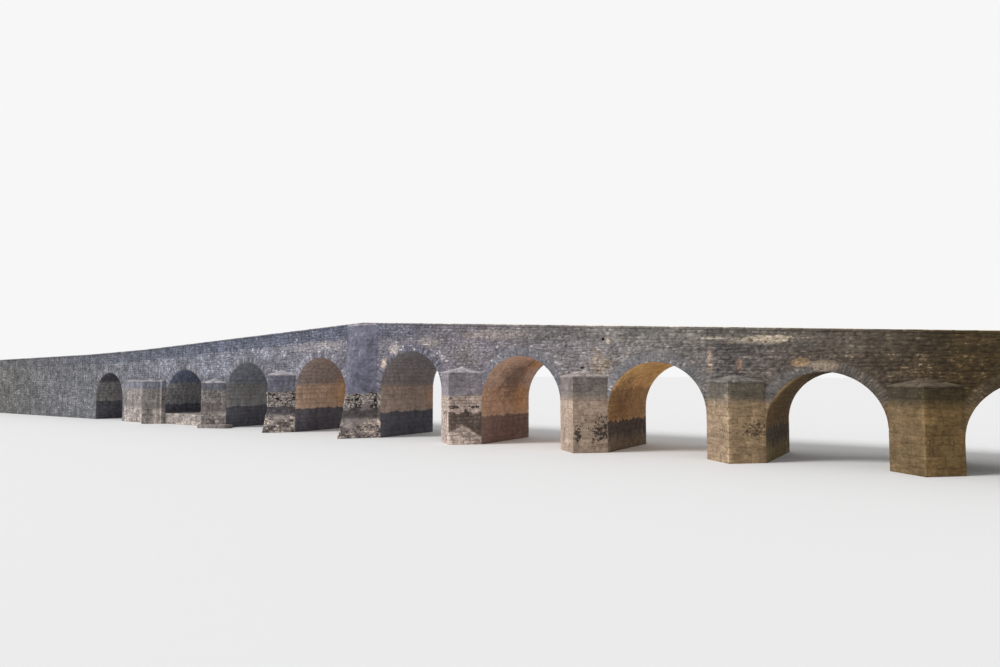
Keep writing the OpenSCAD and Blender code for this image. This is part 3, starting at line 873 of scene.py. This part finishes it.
def wallStones(piles, rng, mirror):
    look = rubble
    cells = coursedCells(rng, leftEnd, rightEnd, firstCourse, topZ.max() - roadDepth, look)
    outline = outlinesOf(cells, rng, look)
    u, v = outline[..., 0], outline[..., 1]
    wander = wallFit["wander"] * mm * (np.sin(9 * u + 5 * v) + 0.6 * np.sin(23 * u + 17 * v + 1))
    outline[..., 1] = np.maximum(v + wander * (v > wallFit["levelFoot"] * mm), firstCourse)
    keep = ~insideArches(outline.mean(1), 2 * mm)
    outline, full = outline[keep], areaOf(outline[keep])
    outline = clearOfArches(outline, wallFit["archGap"] * mm)
    deck = topLine(outline[..., 0]) - roadDepth - wallFit["deckGap"] * mm
    outline[..., 1] = np.minimum(outline[..., 1], deck)
    thin = (outline.max(1) - outline.min(1)).min(1) < wallFit["least"] * mm
    kept = areaOf(outline) > wallFit["keptShare"] * full
    outline = outline[kept & ~thin & ~hiddenByPiers(outline.mean(1))]
    atLeft = outline.mean(1)[:, 0] < crestX
    layStones(piles["left"], outline[atLeft], onFace, look, rng, mirror)
    layStones(piles["right"], outline[~atLeft], onFace, look, rng, mirror)


# The drain's corners are the only points of its parapet that lie between the coping and the road. Gives the
# middle in x and z and half the width.
def drainHole():
    points = nodePoints("parapets_fall")
    depth = topLine(points[:, 0]) - points[:, 2]
    hole = points[(depth > copingT + 2 * mm) & (depth < roadDepth - 2 * mm)]
    low, high = hole.min(0), hole.max(0)
    return (low[0] + high[0]) / 2, (low[2] + high[2]) / 2, (high[0] - low[0]) / 2


def parapetStones(piles, rng, mirror):
    look = parapetRubble
    holeX, holeZ, holeHalf = drainHole()
    holeDepth, free = topLine(holeX) - holeZ, holeHalf + 3 * mm
    frame = [(-free, free, -free, -holeHalf), (-free, free, holeHalf, free),
             (-free, -holeHalf, -holeHalf, holeHalf), (holeHalf, free, -holeHalf, holeHalf)]
    frame = np.array(frame) + (holeX, holeX, holeDepth, holeDepth)
    for place, pile in ((onParapet, piles["outer"]), (insideParapet, piles["inner"])):
        cells = coursedCells(rng, leftEnd, rightEnd, copingT, roadDepth, look)
        outline = outlinesOf(cells, rng, look)
        near = (np.abs(outline - (holeX, holeDepth)) - free).max(2).min(1) < 0
        away, half = np.abs(outline.mean(1) - (holeX, holeDepth)), (outline.max(1) - outline.min(1)) / 2
        near |= (away < half + holeHalf).all(1)
        layStones(pile, outline[~near], place, look, rng, mirror)
        layCells(pile, frame, place, dict(look, split=0.0, rough=0.05), rng, mirror)


crestX = topX[np.argmax(topZ)]
for side, mirror, rng in bothSides(11):
    walls = {"left": [], "right": []}
    parapets = {"outer": [], "inner": []}
    wallStones(walls, rng, mirror)
    parapetStones(parapets, rng, mirror)
    for part, pile in walls.items():
        raiseStones(f"wall_stones_{side}_{part}", pile, finishes["wall"])
    for part, pile in parapets.items():
        raiseStones(f"parapet_stones_{side}_{part}", pile, finishes["parapet"])
print("walls laid")


# Rings and vaults share their joints, so that a face block runs on as a course of the vault

blockEdge = faceY + 1.3 * mm


def ringStones():
    rng = np.random.default_rng(21)
    rings = {"near": [], "far": []}
    vaults = []
    for arch in arches:
        mean = (arch["radius"] + arch["outer"]) / 2
        count = int(round(math.pi * mean / (ringBlock["width"] * mm)))
        widths = rng.uniform(0.82, 1.18, count)
        shares = np.concatenate([[0], np.cumsum(widths) / widths.sum()])
        look = ringBlock if arch["x"] < 1.3 else smoothRing
        joints = shares * math.pi * mean
        for side, mirror in (("near", False), ("far", True)):
            low = np.full(count, arch["radius"] - 0.9 * mm)
            high = arch["outer"] - rng.uniform(0, 8, count) * mm
            cells = np.stack([joints[:-1], joints[1:], low, high], 1)
            layCells(rings[side], cells, onRing(arch), look, rng, mirror)
        lines = np.append(shares[:-1:2], shares[-1]) * math.pi * arch["radius"]
        cells = courseCells(rng, -blockEdge, blockEdge, lines, vaultBlock["length"])
        layCells(vaults, cells, onVault(arch), vaultBlock, rng)
    for side, pile in rings.items():
        raiseStones(f"ring_blocks_{side}", pile, finishes["ring"])
    raiseStones("vault_blocks", vaults, finishes["inside"])


# The upright sides of the piers and abutments inside the arches
def pierSideStones():
    rng = np.random.default_rng(22)
    pile = []
    for i, arch in enumerate(arches):
        for x, facing in ((openingEdges[2 * i], 1), (openingEdges[2 * i + 1], -1)):
            cells = coursedCells(rng, -blockEdge, blockEdge, firstCourse, arch["spring"], sideBlock)
            layCells(pile, cells, onCross(x, facing), sideBlock, rng)
    raiseStones("pier_side_blocks", pile, finishes["inside"])


ringStones()
pierSideStones()
print("rings, vaults and pier sides laid")


# Cutwaters: the nose line of each is read from its node as heights and reaches, foot to ledge

def noseLine(name):
    points = nodePoints(name)
    near = points[points[:, 1] < -faceY - mm]
    tip = lowest(near, 1)
    line = pointsAt(near, 0, tip[0])
    heights, first = np.unique(line[:, 2].round(4), return_index=True)
    reaches = -line[first, 1] - faceY
    low, high = points[:, 0].min(), points[:, 0].max()
    return tip[0], low, high, np.abs(points[:, 1]).min() - faceY, heights, reaches


# layers lists (height up to which it goes, look), from the foot up; a knee of the nose line ends one too
def cutwaterStones(name, pile, rng, mirror, layers):
    noseX, low, high, base, heights, reaches = noseLine(name)
    tops = [z for z, look in layers if z < heights[-1] - 8 * mm]
    bounds = np.unique(np.concatenate([tops, heights[heights > 8 * mm], heights[:1]]))
    for z0, z1 in zip(bounds[:-1], bounds[1:]):
        look = next(look for z, look in layers if (z0 + z1) / 2 < z)
        out0, out1 = np.interp([z0, z1], heights, reaches)
        y0, y1, yb = -faceY - out0, -faceY - out1, -faceY - base
        leftPanel = ((low, yb, z0), (noseX, y0, z0), (low, yb, z1), (noseX, y1, z1))
        rightPanel = ((noseX, y0, z0), (high, yb, z0), (noseX, y1, z1), (high, yb, z1))
        height = np.linalg.norm([z1 - z0, (out1 - out0) / 2])
        lines = courseLines(rng, firstCourse if z0 < 2 * mm else 0.0, height, look["height"])
        first = len(pile)
        panelStones(pile, leftPanel, look, rng, mirror, "down", (0, 1.4), lines)
        panelStones(pile, rightPanel, look, rng, mirror, "up", (1.4, 0), lines)
        if noseX > 1 and z1 < levels["paleTop"] + 0.1:
            wornNose(pile, first, noseX)


# Stones get a paler edge along the nose
def wornNose(pile, first, noseX):
    for i in range(first, len(pile)):
        points, tone = pile[i]
        near = 1 - np.clip((np.abs(points[..., 0] - noseX) - 2 * mm) / (9 * mm), 0, 1)
        pile[i] = (points, np.maximum(tone, 1 + near) * (near > 0) + tone * (near <= 0))


noLimit = 9.0
dryLayers = ((noLimit, cutwaterBlock),)
footLayers = ((levels["darkFoot"], footRubble), (levels["darkTop"], wornBlock),
              (levels["paleTop"], erodedRubble), (noLimit, buttressBlock))
pittedLayers = ((levels["darkTop"], wornBlock), (levels["paleTop"], hollowBlock), (noLimit, cutwaterBlock))
wornLayers = ((0.20, wornBlock), (levels["paleTop"], dict(wornBlock, gaps=0.04)), (noLimit, cutwaterBlock))
layersOf = {1: dryLayers, 2: wornLayers, 3: footLayers, 5: pittedLayers, 6: dryLayers, 7: dryLayers,
            8: dryLayers}
sillBlock = dict(cutwaterBlock, height=(13, 18), length=(45, 90))


def uprightPanel(x0, y0, x1, y1, top):
    return (x0, y0, 0), (x1, y1, 0), (x0, y0, top), (x1, y1, top)


def allCutwaters():
    for side, mirror, rng in bothSides(31):
        pile = []
        for k, layers in layersOf.items():
            cutwaterStones(f"cutwater_{k}", pile, rng, mirror, layers)
        cutwaterStones("buttress_4", pile, rng, mirror, footLayers)
        (x0, y, _), (x1, _, top) = boxOf("pier_1_apron")
        for foot in ((x0, y, x1, y), (x0, -faceY, x0, y), (x1, y, x1, -faceY)):
            panelStones(pile, uprightPanel(*foot, top), cutwaterBlock, rng, mirror, foot=firstCourse)
        (x0, y, _), (x1, _, top) = boxOf("arch_2_sill")
        panelStones(pile, uprightPanel(x0, y, x1, y, top), sillBlock, rng, mirror, foot=firstCourse)
        raiseStones(f"cutwater_blocks_{side}", pile, finishes["pier"])


allCutwaters()
print("cutwaters laid")


# Caps: two sloping faces of slabs from the rim to the wall, a slab on the buttress and a ledge on pier 1

# One sloping face: slabs along the rim and one over them, up to the wall
def capFace(pile, corners, over, rng, mirror):
    place, width, height = onPanel(corners)
    low, high, ledge = -over[0] * mm, width + over[1] * mm, 0.46 * height
    cells = courseCells(rng, low, high, np.array([-0.8 * mm, ledge]), capSlab["length"])
    cells = np.concatenate([cells, [(low, high, ledge, height)]])
    layCells(pile, cells, place, capSlab, rng, mirror)


def capSlabs():
    points = nodePoints("cutwater_caps")
    points = points[points[:, 1] < 0]
    for side, mirror, rng in bothSides(41):
        pile = []
        for name in cutwaters:
            low, high = boxOf(name)
            mine = points[(points[:, 0] > low[0] - 8 * mm) & (points[:, 0] < high[0] + 8 * mm)]
            nose = lowest(mine, 1)
            rimZ = pointsAt(mine, 1, nose[1])[:, 2].max()
            rim = pointsAt(mine, 2, rimZ)
            tip = (nose[0], nose[1], rimZ)
            apex = highest(mine, 2)
            capFace(pile, (lowest(rim, 0), tip, apex, apex), (0.6, 1.6), rng, mirror)
            capFace(pile, (tip, highest(rim, 0), apex, apex), (1.6, 0.6), rng, mirror)
        low, high = boxOf("pier_1_apron")
        ledge = pointsAt(points, 0, low[0], mm)
        outer, inner = ledge[ledge[:, 1] < -faceY - mm], ledge[ledge[:, 1] > -faceY - mm]
        y0, z0, z1 = outer[0][1], outer[:, 2].max(), inner[:, 2].max()
        strip = ((low[0], y0, z0), (high[0], y0, z0), (low[0], -faceY, z1), (high[0], -faceY, z1))
        panelStones(pile, strip, capSlab, rng, mirror)
        crest = pointsAt(points, 2, points[:, 2].max())
        tip = lowest(crest, 1)
        panelStones(pile, (tip, tip, lowest(crest, 0), highest(crest, 0)), capSlab, rng, mirror)
        raiseStones(f"cap_slabs_{side}", pile, finishes["cap"])


capSlabs()


# Coping: slabs laid round the parapet's top. A slab is its section times stations along x; the end stations
# are drawn in, and each slab sits, leans and sticks out a little differently.
coping = {"length": (70, 112), "joint": 1.0, "bevel": 1.6, "proud": 0.8, "shift": 0.5, "chip": 0.35,
          "rim": 4.5}


def copingSlabs():
    bevel, proud = coping["bevel"] * mm, coping["proud"] * mm
    wide, high = parapetT / 2 + copingLip + proud, copingT / 2 + proud
    rim = coping["rim"] * mm
    section = np.array([(-wide, -high + bevel), (-wide, high - rim), (-wide, high - bevel),
                        (-wide + bevel, high), (0, high * 1.08), (wide - bevel, high), (wide, high - bevel),
                        (wide, high - rim), (wide, -high + bevel), (wide - bevel, -high), (0, -high),
                        (-wide + bevel, -high)])
    stations = np.array([0.0, 0.018, 0.26, 0.5, 0.74, 0.982, 1.0])
    shrink = np.array([0.95, 1.0, 1.0, 1.0, 1.0, 1.0, 0.95])
    for side, mirror, rng in bothSides(51):
        cuts = [courseLines(rng, a, b, coping["length"])[:-1] for a, b in zip(topX[:-1], topX[1:])]
        cuts = np.append(np.concatenate(cuts), topX[-1])
        a, b = cuts[:-1] + coping["joint"] * mm / 2, cuts[1:] - coping["joint"] * mm / 2
        count, rings, ringPoints = len(a), len(stations), len(section)
        x = a[:, None] + (b - a)[:, None] * stations
        fold = rng.uniform(-1, 1, (count, 3)) * mm
        middleZ = topLine(a)[:, None] + (topLine(b) - topLine(a))[:, None] * stations - copingT / 2
        middleZ = middleZ + 0.4 * (fold[:, :1] + (stations - 0.5) * fold[:, 1:2])
        chips = 1 - coping["chip"] * rng.uniform(0, 1, (count, rings, ringPoints)) ** 3 * 0.12
        y = section[:, 0] * shrink[:, None] * chips + coping["shift"] * fold[:, 2][:, None, None]
        z = section[:, 1] * shrink[:, None] * chips + middleZ[..., None]
        y = y + (faceY - parapetT / 2) * (1 if mirror else -1)
        points = np.stack([np.broadcast_to(x[..., None], y.shape), y, z], -1)
        r, k = np.meshgrid(np.arange(rings - 1), np.arange(ringPoints), indexing="ij")
        nextK = (k + 1) % ringPoints
        quads = np.stack([r * ringPoints + k, r * ringPoints + nextK,
                          (r + 1) * ringPoints + nextK, (r + 1) * ringPoints + k], -1).reshape(-1, 4)
        ends = np.arange(ringPoints)
        pattern = np.concatenate([quads.ravel(), ends[::-1], ends + (rings - 1) * ringPoints])
        sizes = np.concatenate([np.full(len(quads), 4), [ringPoints, ringPoints]])
        loops = (pattern[None] + np.arange(count)[:, None] * rings * ringPoints).ravel()
        tone = np.broadcast_to(rng.uniform(0, 1, (count, 1, 1)), (count, rings, ringPoints))
        # The top edge of each slab gets the paler-edge tone: painted light along the coping's top
        tone = np.where(section[:, 1] > high - rim + 0.1 * mm, 2.0, tone)
        meshFrom(f"coping_slabs_{side}", points.reshape(-1, 3), loops, np.tile(sizes, count), tone.ravel(),
                 finishes["coping"])


copingSlabs()
print("caps and coping laid")


# Both ends of the bridge, as level courses up to the road and the parapets' ends above it
def endStones():
    rng = np.random.default_rng(61)
    pile = []
    for x, facing in ((leftEnd, -1), (rightEnd, 1)):
        top = topLine(x)
        road, rim = top - roadDepth, top - copingT
        parts = ((-faceY, faceY, firstCourse, road), (-faceY, -faceY + parapetT, road, rim),
                 (faceY - parapetT, faceY, road, rim))
        for y0, y1, z0, z1 in parts:
            layCells(pile, coursedCells(rng, y0, y1, z0, z1, rubble), onCross(x, facing), rubble, rng)
    raiseStones("end_stones", pile, finishes["wall"])


endStones()
print("ends laid;", totals["triangles"], "triangles added")


# Floor, sky and sun

def makeStage():
    size = 60.0
    mesh = bpy.data.meshes.new("floor")
    corners = [(-size, -size, 0), (size, -size, 0), (size, size, 0), (-size, size, 0)]
    mesh.from_pydata(corners, [], [(0, 1, 2, 3)])
    floor = newObject("floor", mesh)
    material = bpy.data.materials.new("paleFloor")
    material.use_nodes = True
    shader = material.node_tree.nodes["Principled BSDF"]
    tone = light["floorTone"]
    shader.inputs["Base Color"].default_value = (tone, tone, tone, 1)
    shader.inputs["Roughness"].default_value = 0.9
    mesh.materials.append(material)

    world = bpy.data.worlds.new("sky")
    bpy.context.scene.world = world
    world.use_nodes = True
    tree = world.node_tree
    tree.nodes.clear()
    rays = addNode(tree, "LightPath")
    seen = maths("MAXIMUM", Value(rays, "Is Camera Ray"),
                 maths("MAXIMUM", Value(rays, "Is Glossy Ray"), Value(rays, "Is Transmission Ray")))
    back = light["backdropTone"]
    skies = [Value(addNode(tree, "Background", {"Color": (c, c, c, 1), "Strength": strength}))
             for c, strength in ((1, light["sky"]), (back, 1.0))]
    mixed = Value(addNode(tree, "MixShader", {0: seen, 1: skies[0], 2: skies[1]}))
    addNode(tree, "OutputWorld", {0: mixed})

    data = bpy.data.lights.new("sun", "SUN")
    data.energy = light["sun"]
    data.angle = math.radians(light["sunAngle"])
    sun = newObject("sun", data)
    sun.rotation_euler = Vector(light["sunFrom"]).to_track_quat("Z", "Y").to_euler()


makeStage()
print("stage set")
